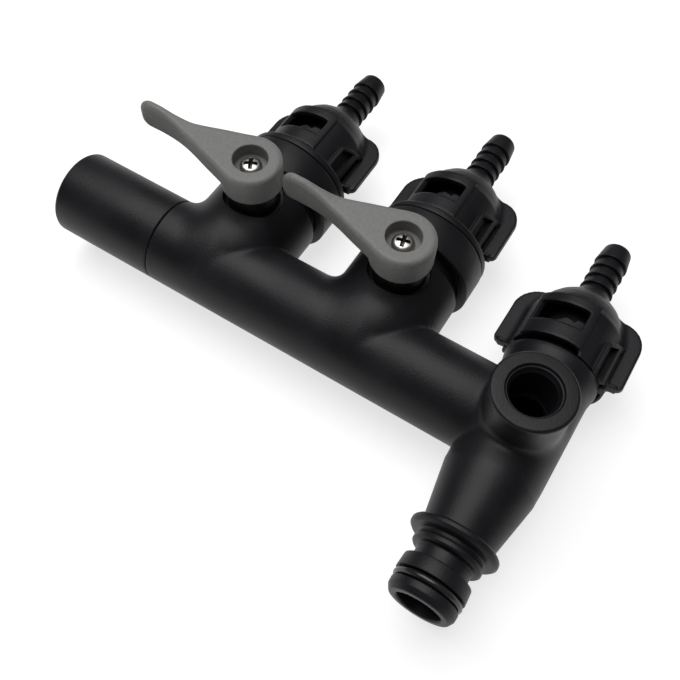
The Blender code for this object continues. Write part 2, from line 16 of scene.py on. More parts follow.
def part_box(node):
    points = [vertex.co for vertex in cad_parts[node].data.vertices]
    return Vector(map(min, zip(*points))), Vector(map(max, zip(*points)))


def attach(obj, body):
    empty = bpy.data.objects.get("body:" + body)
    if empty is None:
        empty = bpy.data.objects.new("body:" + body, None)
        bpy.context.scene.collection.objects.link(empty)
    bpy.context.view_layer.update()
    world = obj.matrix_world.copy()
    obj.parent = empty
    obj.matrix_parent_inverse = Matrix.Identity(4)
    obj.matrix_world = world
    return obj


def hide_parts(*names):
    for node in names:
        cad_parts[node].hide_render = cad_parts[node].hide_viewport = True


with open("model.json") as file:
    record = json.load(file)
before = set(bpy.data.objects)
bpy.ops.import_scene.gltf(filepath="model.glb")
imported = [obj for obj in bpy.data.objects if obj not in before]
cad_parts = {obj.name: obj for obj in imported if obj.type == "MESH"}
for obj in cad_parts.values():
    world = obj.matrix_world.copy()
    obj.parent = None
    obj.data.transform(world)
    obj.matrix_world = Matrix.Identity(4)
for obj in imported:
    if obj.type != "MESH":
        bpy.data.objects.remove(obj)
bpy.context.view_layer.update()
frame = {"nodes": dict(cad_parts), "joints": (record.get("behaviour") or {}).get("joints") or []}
MM = 0.001
JOINTS = {joint["name"]: joint for joint in frame["joints"]}
ORIGIN = np.array(JOINTS["outlet_3_unlock"]["pos_m"]) / MM

# Places along the pipe, from the joints.
VALVE_X = [JOINTS[f"valve_{n}_turn"]["pos_m"][0] / MM - ORIGIN[0] for n in (1, 2)]
OUTLET_X = VALVE_X + [0.0]
STEM_Y = JOINTS["valve_1_turn"]["pos_m"][1] / MM - ORIGIN[1]
OUTLET_SHIFT = 23.8
OUTLET_TURN = (-6.0, -9.0, -8.5)

STEPS = 96
PIPE_R = 15.0
PIPE_BORE_R = 11.0
SEAM_X = -135.0
END_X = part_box("end_cap")[0].x / MM - ORIGIN[0]
BARREL_R = 19.0
BRANCH_R = 15.2
GAUGE_X, GAUGE_Y = -0.5, -1.0
GAUGE_R = 13.2
GAUGE_TOP = 29.0
STEM_BOSS_R = 8.7
STEM_POCKET_R = 10.5
STEM_BOSS_TOP = 23.6
BARREL_ROOT_Y = 8.0

# The root fillet of a barrel shrinks from its left side to its right, by x from the barrel's axis.
FILLET_X = (-8.0, 0.0, 3.5, 6.0)
FILLET_SIZE = (4.4, 3.6, 1.2, 0.6)

# The gauge port's thread is drawn as rings.
THREAD_TOP, THREAD_END, THREAD_PITCH = 26.3, 13.5, 1.41

# Grid cells of the field meshes.
BODY_CELL, LEVER_CELL, CAP_CELL = 0.85, 0.42, 0.55


# ---------------------------------------------------------------- meshes

def mesh_object(name, points, faces, turn=None, shift=(0.0, 0.0, 0.0)):
    """Return an object from design-frame points in millimetres, turned about Y and then shifted."""
    points = np.asarray(points, float)
    if turn is not None:
        spin = np.array(Matrix.Rotation(math.radians(turn), 3, "Y"))
        points = points @ spin.T
    points = (points + np.asarray(shift) + ORIGIN) * MM
    mesh = bpy.data.meshes.new(name)
    mesh.from_pydata(points.tolist(), [], [list(map(int, face)) for face in faces])
    shape = bmesh.new()
    shape.from_mesh(mesh)
    bmesh.ops.remove_doubles(shape, verts=shape.verts, dist=1e-7)
    bmesh.ops.recalc_face_normals(shape, faces=shape.faces)
    shape.to_mesh(mesh)
    shape.free()
    item = bpy.data.objects.new(name, mesh)
    bpy.context.scene.collection.objects.link(item)
    return item


AXES = {
    "x": lambda a, b, h: (h, a, b),
    "y": lambda a, b, h: (a, h, -b),
    "z": lambda a, b, h: (a, b, h),
}


def lathe_mesh(profile, axis="y", steps=STEPS, centre=(0.0, 0.0, 0.0)):
    """Return points and faces of a (radius, height) profile spun about an axis."""
    profile = [tuple(point) for point in profile]
    closed = profile[0][0] > 1e-6
    place = AXES[axis]
    points, rings = [], []
    for radius, height in profile:
        if radius < 1e-6:
            rings.append([len(points)] * steps)
            points.append(place(0.0, 0.0, height))
            continue
        rings.append(list(range(len(points), len(points) + steps)))
        for step in range(steps):
            angle = math.tau * step / steps
            points.append(place(radius * math.cos(angle), radius * math.sin(angle), height))
    pairs = list(zip(rings, rings[1:]))
    if closed:
        pairs.append((rings[-1], rings[0]))
    faces = []
    for upper, lower in pairs:
        for step in range(steps):
            other = (step + 1) % steps
            corners = [upper[step], upper[other], lower[other], lower[step]]
            corners = [c for i, c in enumerate(corners) if c != corners[i - 1]]
            if len(corners) > 2:
                faces.append(corners)
    return np.array(points) + np.asarray(centre), faces


def lathe(name, profile, axis="y", steps=STEPS, centre=(0.0, 0.0, 0.0)):
    """Return an object from a spun profile."""
    return mesh_object(name, *lathe_mesh(profile, axis, steps, centre))


def soften(outline, bends=4):
    """Round an outline's corners. A corner is (x, y) or (x, y, radius)."""
    result = []
    count = len(outline)
    for index, corner in enumerate(outline):
        here = Vector(corner[:2])
        radius = corner[2] if len(corner) > 2 else 0.0
        if radius == 0.0:
            result.append(tuple(here))
            continue
        before = (Vector(outline[index - 1][:2]) - here).normalized()
        after = (Vector(outline[(index + 1) % count][:2]) - here).normalized()
        half = before.angle(after) / 2.0
        reach = radius / math.tan(half)
        middle = here + (before + after).normalized() * (radius / math.sin(half))
        first, last = here + before * reach - middle, here + after * reach - middle
        for step in range(bends + 1):
            share = step / bends
            spoke = first.lerp(last, share).normalized() * radius
            result.append(tuple(middle + spoke))
    return result


def prism(name, outline, low, high, centre=(0.0, 0.0, 0.0), axis="z", turn=None, shift=(0, 0, 0)):
    """Return an outline extruded from low to high along an axis."""
    place = AXES[axis]
    base = np.asarray(centre)
    count = len(outline)
    points = [np.array(place(a, b, height)) + base for height in (low, high) for a, b in outline]
    faces = [list(range(count)), list(range(count, 2 * count))]
    for index in range(count):
        other = (index + 1) % count
        faces.append([index, other, count + other, count + index])
    return mesh_object(name, points, faces, turn, shift)


def combine(target, tool, operation):
    """Join, cut or clip a target with a tool, and remove the tool."""
    step = target.modifiers.new("combine", "BOOLEAN")
    step.operation = operation
    step.object = tool
    step.solver = "MANIFOLD"
    bpy.context.view_layer.update()
    evaluated = target.evaluated_get(bpy.context.evaluated_depsgraph_get())
    mesh = bpy.data.meshes.new_from_object(evaluated)
    target.modifiers.clear()
    if len(mesh.polygons) == 0:
        raise RuntimeError(f"{operation} of {tool.name} emptied {target.name}")
    target.data = mesh
    bpy.data.objects.remove(tool, do_unlink=True)
    return target


def join(target, *tools):
    """Join tools to a target."""
    for tool in tools:
        combine(target, tool, "UNION")


def cut(target, *tools):
    """Cut tools out of a target."""
    for tool in tools:
        combine(target, tool, "DIFFERENCE")


def finish(item, material, body, nodes, angle=32.0):
    """Shade a piece, give it its material, tie it to its body and hide the CAD nodes it stands for."""
    item.data.materials.clear()
    item.data.materials.append(material)
    item.data.shade_smooth()
    item.data.set_sharp_from_angle(angle=math.radians(angle))
    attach(item, body)
    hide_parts(*nodes)
    return item


# ---------------------------------------------------------------- distance fields

def blend_min(a, b, size):
    """Union of two fields with a fillet of about that size."""
    overlap = np.maximum(size - np.abs(a - b), 0.0) / size
    return np.minimum(a, b) - overlap * overlap * size * 0.25


def blend_max(a, b, size):
    """Intersection of two fields with an edge rounded by about that size."""
    return -blend_min(-a, -b, size)


def slab(value, low, high):
    """Distance field of the space between two planes."""
    return np.maximum(low - value, value - high)


def polygon_field(x, y, outline):
    """Signed distance to a closed outline, negative inside."""
    outline = np.asarray(outline, float)
    best = np.full(x.shape, 1e9)
    inside = np.zeros(x.shape, bool)
    for (ax, ay), (bx, by) in zip(outline, np.roll(outline, -1, 0)):
        ex, ey = bx - ax, by - ay
        wx, wy = x - ax, y - ay
        share = np.clip((wx * ex + wy * ey) / (ex * ex + ey * ey), 0.0, 1.0)
        best = np.minimum(best, (wx - ex * share) ** 2 + (wy - ey * share) ** 2)
        if ay != by:
            crosses = (ay > y) != (by > y)
            inside ^= crosses & (x < ex * (y - ay) / ey + ax)
    return np.where(inside, -1.0, 1.0) * np.sqrt(best)


def gradient(field, points, step=0.02):
    """Slope of a field at points, by central differences."""
    slope = np.empty_like(points)
    for axis in range(3):
        move = np.zeros(3)
        move[axis] = step
        ahead = field(*(points + move).T)
        behind = field(*(points - move).T)
        slope[:, axis] = (ahead - behind) / (2.0 * step)
    return slope


def field_mesh(field, low, high, cell):
    """Return the zero surface of a field as points and quads, by dual contouring.

    Each grid cell that the surface crosses gets one point. It is put where the planes that the
    field shows at the cell's crossed edges meet, so that real edges stay crisp.
    """
    low = np.asarray(low, float)
    sizes = [int(math.ceil((h - l) / cell)) + 1 for l, h in zip(low, high)]
    axes = [low[k] + cell * np.arange(sizes[k]) for k in range(3)]
    values = field(*np.meshgrid(*axes, indexing="ij"))
    negative = values < 0.0
    shape = [size - 1 for size in sizes]
    matrix = np.zeros((*shape, 3, 3))
    right = np.zeros((*shape, 3))
    centre = np.zeros((*shape, 3))
    count = np.zeros(shape)
    crossings = []
    for axis in range(3):
        ahead = [slice(None)] * 3
        behind = [slice(None)] * 3
        ahead[axis], behind[axis] = slice(1, None), slice(None, -1)
        start, end = values[tuple(behind)], values[tuple(ahead)]
        index = np.argwhere(negative[tuple(behind)] != negative[tuple(ahead)])
        first, last = start[tuple(index.T)], end[tuple(index.T)]
        points = low + cell * index
        points[:, axis] += cell * first / (first - last)
        slope = gradient(field, points)
        normal = slope / np.maximum(np.linalg.norm(slope, axis=1, keepdims=True), 1e-9)
        crossings.append((axis, index, first < 0.0))
        others = [k for k in range(3) if k != axis]
        for du in (0, 1):
            for dv in (0, 1):
                owner = index.copy()
                owner[:, others[0]] -= du
                owner[:, others[1]] -= dv
                keep = (owner >= 0).all(1) & (owner < shape).all(1)
                spot = tuple(owner[keep].T)
                n, p = normal[keep], points[keep]
                np.add.at(matrix, spot, n[:, :, None] * n[:, None, :])
                np.add.at(right, spot, n * (n * p).sum(1, keepdims=True))
                np.add.at(centre, spot, p)
                np.add.at(count, spot, 1.0)
    used = np.argwhere(count > 0)
    spot = tuple(used.T)
    middle = centre[spot] / count[spot][:, None]
    weight = 0.04
    system = matrix[spot] + weight * np.eye(3)
    target = right[spot] + weight * middle
    points = np.linalg.solve(system, target[:, :, None])[:, :, 0]
    corner = low + cell * used
    points = np.clip(points, corner, corner + cell)
    number = np.full(shape, -1)
    number[spot] = np.arange(len(used))
    faces = []
    for axis, index, rising in crossings:
        u, v = [k for k in range(3) if k != axis]
        quad = []
        for du, dv in ((1, 1), (0, 1), (0, 0), (1, 0)):
            owner = index.copy()
            owner[:, u] -= du
            owner[:, v] -= dv
            quad.append(number[tuple(owner.T)])
        quad = np.stack(quad, 1)
        quad[rising] = quad[rising][:, ::-1]
        faces.append(quad[(quad >= 0).all(1)])
    return points, np.concatenate(faces)


# ---------------------------------------------------------------- materials

def socket(node, name, value):
    """Set a node's input."""
    node.inputs[name].default_value = value


def moulded(name, colour, roughness, grain=1.0, mottle=0.25, edge=0.35, gloss=0.5):
    """Return moulded plastic: fine spark-eroded grain, faint flow marks and softened edges."""
    material = bpy.data.materials.new(name)
    material.use_nodes = True
    tree = material.node_tree
    nodes, links = tree.nodes, tree.links
    shader = nodes["Principled BSDF"]
    socket(shader, "Specular IOR Level", gloss)
    place = nodes.new("ShaderNodeTexCoord")

    cloud = nodes.new("ShaderNodeTexNoise")
    socket(cloud, "Scale", 55.0)
    socket(cloud, "Detail", 5.0)
    links.new(place.outputs["Object"], cloud.inputs["Vector"])
    tint = nodes.new("ShaderNodeValToRGB")
    tint.color_ramp.elements[0].position = 0.3
    tint.color_ramp.elements[1].position = 0.7
    tint.color_ramp.elements[0].color = (*(c * (1.0 - mottle) for c in colour), 1.0)
    tint.color_ramp.elements[1].color = (*(c * (1.0 + mottle) for c in colour), 1.0)
    links.new(cloud.outputs["Fac"], tint.inputs["Fac"])

    fibre = nodes.new("ShaderNodeTexNoise")
    socket(fibre, "Scale", 900.0)
    socket(fibre, "Detail", 3.0)
    links.new(place.outputs["Object"], fibre.inputs["Vector"])
    fleck = nodes.new("ShaderNodeMix")
    fleck.data_type = "RGBA"
    fleck.blend_type = "MULTIPLY"
    fleck.inputs["Factor"].default_value = 0.35
    links.new(tint.outputs["Color"], fleck.inputs[6])
    links.new(fibre.outputs["Fac"], fleck.inputs[7])
    lift = nodes.new("ShaderNodeMix")
    lift.data_type = "RGBA"
    lift.blend_type = "MULTIPLY"
    lift.inputs["Factor"].default_value = 1.0
    lift.inputs[7].default_value = (1.2, 1.2, 1.2, 1.0)
    links.new(fleck.outputs[2], lift.inputs[6])
    links.new(lift.outputs[2], shader.inputs["Base Color"])

    rough = nodes.new("ShaderNodeMapRange")
    socket(rough, "From Min", 0.3)
    socket(rough, "From Max", 0.7)
    socket(rough, "To Min", roughness - 0.05)
    socket(rough, "To Max", roughness + 0.06)
    links.new(cloud.outputs["Fac"], rough.inputs["Value"])
    links.new(rough.outputs["Result"], shader.inputs["Roughness"])

    erosion = nodes.new("ShaderNodeTexNoise")
    socket(erosion, "Scale", 1700.0)
    socket(erosion, "Detail", 2.0)
    links.new(place.outputs["Object"], erosion.inputs["Vector"])
    rounding = nodes.new("ShaderNodeBevel")
    rounding.samples = 4
    socket(rounding, "Radius", edge * MM)
    flow = nodes.new("ShaderNodeBump")
    socket(flow, "Strength", 0.12)
    socket(flow, "Distance", 0.0004)
    links.new(cloud.outputs["Fac"], flow.inputs["Height"])
    links.new(rounding.outputs["Normal"], flow.inputs["Normal"])
    bump = nodes.new("ShaderNodeBump")
    socket(bump, "Strength", 0.5 * grain)
    socket(bump, "Distance", 0.00012)
    links.new(erosion.outputs["Fac"], bump.inputs["Height"])
    links.new(flow.outputs["Normal"], bump.inputs["Normal"])
    links.new(bump.outputs["Normal"], shader.inputs["Normal"])
    return material


def brushed_steel():
    """Return bright stainless: the moulded surface's settings with less grain, made metallic."""
    material = moulded("stainless_screw", (0.50, 0.48, 0.45), 0.34, 0.5, 0.10, 0.12)
    shader = material.node_tree.nodes["Principled BSDF"]
    socket(shader, "Metallic", 1.0)
    return material


BLACK = moulded("black_glass_filled_nylon", (0.0069, 0.0072, 0.0086), 0.44, gloss=0.24)
GREY = moulded("grey_nylon", (0.162, 0.161, 0.157), 0.5, 0.8, 0.05, gloss=0.35)
RUBBER = moulded("greased_rubber", (0.012, 0.012, 0.013), 0.26, 0.3, 0.2, 0.15)
PTFE = moulded("white_ptfe", (0.80, 0.79, 0.76), 0.42, 0.4, 0.03)
ACETAL = moulded("pale_acetal", (0.55, 0.54, 0.50), 0.3, 0.2, 0.04)
STEEL = brushed_steel()
# Dark brown painted shade for the inside of the screw's cross recess.
RECESS_PAINTED_SHADE = moulded("screw_recess_painted_shade", (0.030, 0.024, 0.016), 0.4, 0.5, 0.3, 0.1)


# ---------------------------------------------------------------- manifold body

def body_field(x, y, z):
    """Outer skin of the moulded body: pipe, swept barrels, bosses and the straight branch."""
    pipe = np.maximum(np.hypot(y, z) - PIPE_R, slab(x, -140.0, 0.0))
    cone = np.interp(y, (-42.4, -39.8, -21.0, -15.0), (11.3, 11.6, 15.0, BRANCH_R))
    branch = np.maximum(0.985 * (np.hypot(x, z) - cone), slab(y, -42.4, 23.4))
    gauge = np.maximum(np.hypot(x - GAUGE_X, y - GAUGE_Y) - GAUGE_R + 0.45, slab(z, 0.0, 28.0))
    skin = blend_min(pipe, branch, 2.2)
    skin = blend_min(skin, gauge, 2.6)
    for centre in VALVE_X:
        across = np.hypot(x - centre, z)
        below = np.minimum(y - BARREL_ROOT_Y, 0.0)
        barrel = np.maximum(np.hypot(across, below) - BARREL_R, y - 41.0)
        boss = np.hypot(x - centre, y - STEM_Y) - STEM_BOSS_R - 0.3
        boss = np.maximum(boss, slab(z, 0.0, 25.0))
        barrel = np.minimum(barrel, boss)
        fillet = np.interp(x - centre, FILLET_X, FILLET_SIZE)
        skin = blend_min(skin, barrel, fillet)
    return skin


def make_body():
    """Return the moulded body with its crisp ends, bores and threads."""
    core = field_mesh(body_field, (-142.0, -44.0, -21.0), (17.5, 43.0, 33.0), BODY_CELL)
    body = mesh_object("splitter_body", *core)
    inlet = soften([
        (0.0, -41.3), (13.6, -41.3, 0.4), (14.3, -42.0, 0.5), (14.3, -43.2, 0.5), (13.3, -44.1, 0.3),
        (10.4, -44.3, 0.5), (10.4, -45.7, 0.5), (11.2, -46.3, 0.4), (11.2, -47.6, 0.5),
        (10.6, -48.2, 0.3), (8.85, -48.4, 0.5), (8.85, -52.3, 0.4), (10.9, -52.7, 0.3),
        (11.2, -57.25, 0.15), (8.7, -57.3, 0.2), (8.7, -60.3, 0.2), (10.8, -60.4, 0.2),
        (10.7, -62.5, 0.7), (9.6, -64.3, 0.7), (6.0, -64.3), (0.0, -64.3),
    ])
    join(body, lathe("inlet", inlet))
    nose = soften([
        (0.0, 44.0), (9.7, 44.0, 0.4), (9.7, 35.4, 0.3), (11.9, 35.0, 0.3), (11.9, 24.2, 0.3),
        (16.1, 24.2, 0.3), (16.1, 22.7, 3.0),
        (15.3, 18.5, 8.0), (15.1, 14.0), (0.0, 14.0),
    ])
    join(body, lathe("nose", nose))
    for turn in (0.0, 180.0):
        join(body, lug("body_lug", turn, 0.0, 0.0))

    seam = [(0.0, -134.85), (14.72, -134.85), (15.6, -133.9), (30.0, -133.9), (30.0, -150.0), (0.0, -150.0)]
    cut(body, lathe("seam", seam, "x"))
    place = (GAUGE_X, GAUGE_Y, 0.0)
    lip = soften([
        (0.0, GAUGE_TOP), (GAUGE_R, GAUGE_TOP, 1.1), (GAUGE_R, 27.2, 0.25), (GAUGE_R - 0.6, 26.9),
        (0.0, 26.9),
    ], 6)
    join(body, lathe("gauge_lip", lip, "z", STEPS, place))
    gauge = soften([
        (0.0, 34.0), (12.0, 34.0), (8.9, GAUGE_TOP + 0.2), (8.65, GAUGE_TOP - 0.5, 0.3),
        (8.3, 27.9, 0.3),
    ])
    gauge += [(7.4, 26.6)]
    height = THREAD_TOP
    while height > THREAD_END:
        gauge += [(7.1, height), (7.1, height - 0.4), (7.4, height - 0.75), (7.4, height - 0.9)]
        height -= THREAD_PITCH
    gauge += [(6.8, 12.0), (6.8, 5.0), (0.0, 5.0)]
    cut(body, lathe("gauge_hole", gauge, "z", STEPS, place))

    branch_bore = [
        (0.0, 49.0), (8.5, 49.0), (8.5, 20.0), (11.2, 16.0), (11.2, -20.0), (7.2, -42.0),
        (7.2, -63.8), (7.7, -64.4), (7.7, -69.0), (0.0, -69.0),
    ]
    cut(body, lathe("branch_bore", branch_bore))
    pipe_bore = [(0.0, 0.0), (PIPE_BORE_R, 0.0), (PIPE_BORE_R, -140.0), (0.0, -140.0)]
    cut(body, lathe("pipe_bore", pipe_bore, "x"))
    for x in VALVE_X:
        trim = soften([
            (17.0, 48.0), (17.0, 30.05), (18.2, 30.0, 0.1), (19.03, 29.3, 0.3), (19.03, 28.4),
            (26.0, 28.4), (26.0, 48.0),
        ])
        end = [(0.0, 45.0), (22.0, 45.0), (22.0, 40.0), (0.0, 40.0)]
        bore = [
            (0.0, 45.0), (14.6, 45.0), (14.6, 32.6), (11.3, 32.6), (11.3, 10.9), (7.5, 10.9),
            (7.5, 0.0), (0.0, 0.0),
        ]
        well = soften([
            (0.0, 30.0), (STEM_POCKET_R + 0.4, 30.0), (STEM_POCKET_R, 18.0), (STEM_POCKET_R, 14.8, 0.5),
            (STEM_BOSS_R, 14.8, 0.5), (STEM_BOSS_R, STEM_BOSS_TOP, 0.4), (5.1, STEM_BOSS_TOP), (4.9, 23.4),
            (4.9, 13.5), (5.9, 13.5), (5.9, 3.0), (0.0, 3.0),
        ])
        centre = (x, 0.0, 0.0)
        cut(body, lathe("trim", trim, centre=centre), lathe("end", end, centre=centre))
        cut(body, lathe("bore", bore, centre=centre))
        cut(body, lathe("well", well, "z", STEPS, (x, STEM_Y, 0.0)))
    return finish(body, BLACK, "manifold", ["manifold_body"])


def lug(name, turn, x, shift):
    """Return one bayonet lug: a ramp up to a dip, and a stop beyond it."""
    top = [
        (-46.0, 32.8), (-30.0, 33.0), (-13.6, 36.0), (-2.6, 35.3), (-0.4, 36.6), (12.4, 36.7), (13.4, 33.4),
    ]
    angles = np.linspace(top[0][0], top[-1][0], 60)
    heights = np.interp(angles, *zip(*top))
    points, faces = [], []
    for angle, height in zip(np.radians(angles + turn), heights):
        for radius, level in ((11.0, 32.7), (15.05, 32.7), (15.05, height), (11.0, height)):
            points.append((radius * math.sin(angle) + x, level + shift, radius * math.cos(angle)))
    for first in range(0, len(points) - 4, 4):
        for side in range(4):
            other = (side + 1) % 4
            faces.append([first + side, first + other, first + 4 + other, first + 4 + side])
    faces += [[0, 1, 2, 3], [len(points) - 4 + side for side in range(4)]]
    return mesh_object(name, points, faces)


def make_end_cap():
    """Return the closed tube that is spin-welded on the pipe's end."""
    profile = soften([
        (0.0, END_X + 4.4), (11.0, END_X + 4.4, 0.5), (11.0, -135.15), (14.72, -135.15),
        (15.0, -135.5, 0.2), (15.0, END_X, 1.3), (0.0, END_X),
    ])
    cap = lathe("pipe_end_cap", profile, "x")
    return finish(cap, BLACK, "manifold", ["end_cap"])


# ---------------------------------------------------------------- valves

def make_lever(number, x):
    """Return one lever: hub, tapering arm and an upright rounded blade."""
    side = soften([
        (12.0, 27.0), (12.0, 34.9), (-25.0, 34.9, 14.0), (-36.0, 37.5, 8.0), (-44.4, 37.75, 4.6),
        (-44.4, 26.3, 3.6), (-30.0, 26.6, 12.0), (-20.0, 27.0, 12.0),
    ], 8)
    half = [(6.0, 5.5), (-3.4, 9.9), (-15.0, 6.2), (-20.5, 4.25), (-25.5, 2.75), (-30.0, 1.9),
            (-35.0, 1.5), (-48.0, 1.42)]
    places, widths = zip(*half[::-1])
    smooth = []
    for step in range(57):
        at = 6.0 - step
        window = np.interp(np.linspace(at - 2.2, at + 2.2, 9), places, widths)
        smooth.append((at, float(window.mean())))
    plan = smooth + [(a, -b) for a, b in reversed(smooth)]

    def field(px, py, pz):
        disc = np.hypot(px, py) - 10.5
        flat = blend_min(disc, polygon_field(px, py, plan), 0.8)
        upright = polygon_field(px, pz, side)
        arm = blend_max(flat, upright, 1.9)
        hub = blend_max(disc, slab(pz, 24.1, 33.0), 0.8)
        return blend_min(arm, hub, 0.35)

    points, faces = field_mesh(field, (-46.0, -12.0, 23.4), (12.0, 12.0, 39.4), LEVER_CELL)
    item = mesh_object(f"lever_{number}", points, faces, None, (x, STEM_Y, 0.0))
    centre = (x, STEM_Y, 0.0)
    recess = [
        (0.0, 40.0), (8.0, 40.0), (6.5, 35.3), (6.05, 34.95), (5.8, 34.6), (5.8, 30.4), (5.5, 30.0),
        (2.0, 30.0), (2.0, 27.0), (0.0, 27.0),
    ]
    cut(item, lathe("recess", recess, "z", STEPS, centre))
    square = [(3.0, 3.0), (-3.0, 3.0), (-3.0, -3.0), (3.0, -3.0)]
    cut(item, prism("socket", square, 22.0, 28.8, centre))
    well = [(0.0, 25.0), (5.1, 25.0), (5.1, 20.0), (0.0, 20.0)]
    cut(item, lathe("well", well, "z", STEPS, centre))
    return finish(item, GREY, f"valve_{number}_rotor", [f"valve_{number}_lever"])


def make_screw(number, x):
    """Return the pan-head screw with a cross recess, its recess faces coloured dark as painted shade."""
    low = 30.3
    profile = soften([
        (0.0, low + 2.55), (1.4, low + 2.48), (2.9, low + 2.1, 1.6), (3.7, low + 1.2, 0.7), (3.7, low, 0.15),
        (1.5, low, 0.1), (1.5, 19.0), (0.6, 17.9), (0.0, 17.9),
    ])
    centre = (x, STEM_Y, 0.0)
    screw = lathe(f"lever_screw_{number}", profile, "z", 64, centre)
    angle = (28.0, 14.0)[number - 1]
    for turn in (angle, angle + 90.0):
        points = []
        for reach, half, height in ((2.5, 0.74, low + 3.4), (2.35, 0.64, low + 2.2), (0.9, 0.4, low + 0.3)):
            for a, b in ((-reach, -half), (reach, -half), (reach, half), (-reach, half)):
                c, s = math.cos(math.radians(turn)), math.sin(math.radians(turn))
                points.append((a * c - b * s + centre[0], a * s + b * c + centre[1], height))
        faces = [[0, 1, 2, 3], [8, 9, 10, 11]]
        for ring in (0, 4):
            for k in range(4):
                other = (k + 1) % 4
                faces.append([ring + k, ring + other, ring + 4 + other, ring + 4 + k])
        cut(screw, mesh_object("cross", points, faces))
    finish(screw, STEEL, f"valve_{number}_rotor", [f"valve_{number}_lever_screw"])
    # The faces inside the cross recess get the dark painted-shade colour.
    screw.data.materials.append(RECESS_PAINTED_SHADE)
    for face in screw.data.polygons:
        spot = np.array(face.center) / MM - ORIGIN - np.array(centre)
        if low + 0.1 < spot[2] < low + 1.9 and math.hypot(spot[0], spot[1]) < 2.4:
            face.material_index = 1
    return screw


def make_collar(number, x):
    """Return the collar over the barrel's spigot."""
    profile = soften([
        (20.8, 45.0, 0.45), (20.8, 33.3, 0.6), (17.3, 33.3, 0.2), (17.3, 45.0, 0.2),
    ])
    item = lathe(f"valve_collar_{number}", profile, centre=(x, 0.0, 0.0))
    return finish(item, BLACK, "manifold", [f"valve_{number}_collar"])


def make_nose(number, x):
    """Return the outlet nose: plug, flange, tube and bayonet lugs."""
    s = OUTLET_SHIFT
    profile = soften([
        (9.7, 44.0 + s, 0.4), (9.7, 35.4 + s, 0.3), (11.9, 35.0 + s, 0.3), (11.9, 24.4 + s, 0.3),
        (20.6, 24.4 + s, 0.7), (20.6, 45.4, 0.35),
        (17.0, 45.4, 0.2), (17.0, 40.3), (14.3, 40.3), (14.3, 38.3), (12.3, 38.3), (12.3, 35.7), (14.3, 35.7),
        (14.3, 32.9), (7.5, 32.9), (7.5, 44.0 + s),
    ])
    item = lathe(f"outlet_nose_{number}", profile, centre=(x, 0.0, 0.0))
    for turn in (0.0, 180.0):
        join(item, lug("nose_lug", turn, x, s))
    return finish(item, BLACK, "manifold", [f"valve_{number}_outlet_nose"])


def make_o_ring(name, middle, section, axis, centre, body, node):
    """Return a rubber ring with its moulding flash line."""
    profile = []
    for step in range(20):
        angle = math.tau * step / 20
        bulge = section + (0.03 if step == 0 else 0.0)
        profile.append((middle + bulge * math.cos(angle), -section * math.sin(angle)))
    item = lathe(name, profile, axis, STEPS, centre)
    return finish(item, RUBBER, body, [node], 60.0)


# ---------------------------------------------------------------- caps

CAP_R = 16.2
PANEL_R = 17.0
PANEL_SPAN = (-51.0, 25.0)
WINDOW_SPAN = (-43.0, 16.8)
RIM_SPAN = (-68.5, 27.0)
WING_LOW, WING_HIGH, WING_R = 26.9, 52.3, 22.5
POCKET_TOP_R, POCKET_FLOOR_R = 17.8, 15.8
POCKETS = (
    [(53.8, 20.0), (68.6, 20.0), (68.6, 38.0), (53.8, 35.0)],
    [(76.4, 20.0), (83.6, 20.0), (83.6, 39.6), (76.4, 38.4)],
)
WING_OUTLINE = soften([
    (15.2, WING_LOW), (WING_R, WING_LOW, 2.2), (WING_R - 0.2, WING_HIGH, 9.0), (10.0, WING_HIGH),
    (10.0, 47.8), (13.3, 47.0), (13.9, 45.5), (15.2, 43.0),
], 10)
FOOT_RIM_R, FOOT_GROOVE_R = 17.8, 16.9
FOOT_RIM_SPAN, FOOT_GROOVE_SPAN = (92.0, 150.0), (95.0, 148.0)
POCKET_BLOCK = [(50.2, 24.8), (91.0, 24.8), (91.0, 42.6), (77.0, 40.9), (62.5, 38.6), (50.2, 36.0)]


def span_field(x, z, start, end, turn):
    """Distance to a wedge about the Y axis. Angles run from +Z to +X, and turn adds to both."""
    middle = math.radians((start + end) / 2.0 + turn)
    half = math.radians((end - start) / 2.0)
    along = x * math.sin(middle) + z * math.cos(middle)
    across = np.abs(x * math.cos(middle) - z * math.sin(middle))
    return across * math.cos(half) - along * math.sin(half)


def unrolled_field(x, y, z, outline):
    """Distance to an outline of (degrees from +Z to +X, y) drawn on the skirt."""
    scale = math.radians(CAP_R)
    flat = [(angle * scale, height) for angle, height in outline]
    return polygon_field(np.degrees(np.arctan2(x, z)) * scale, y, flat)


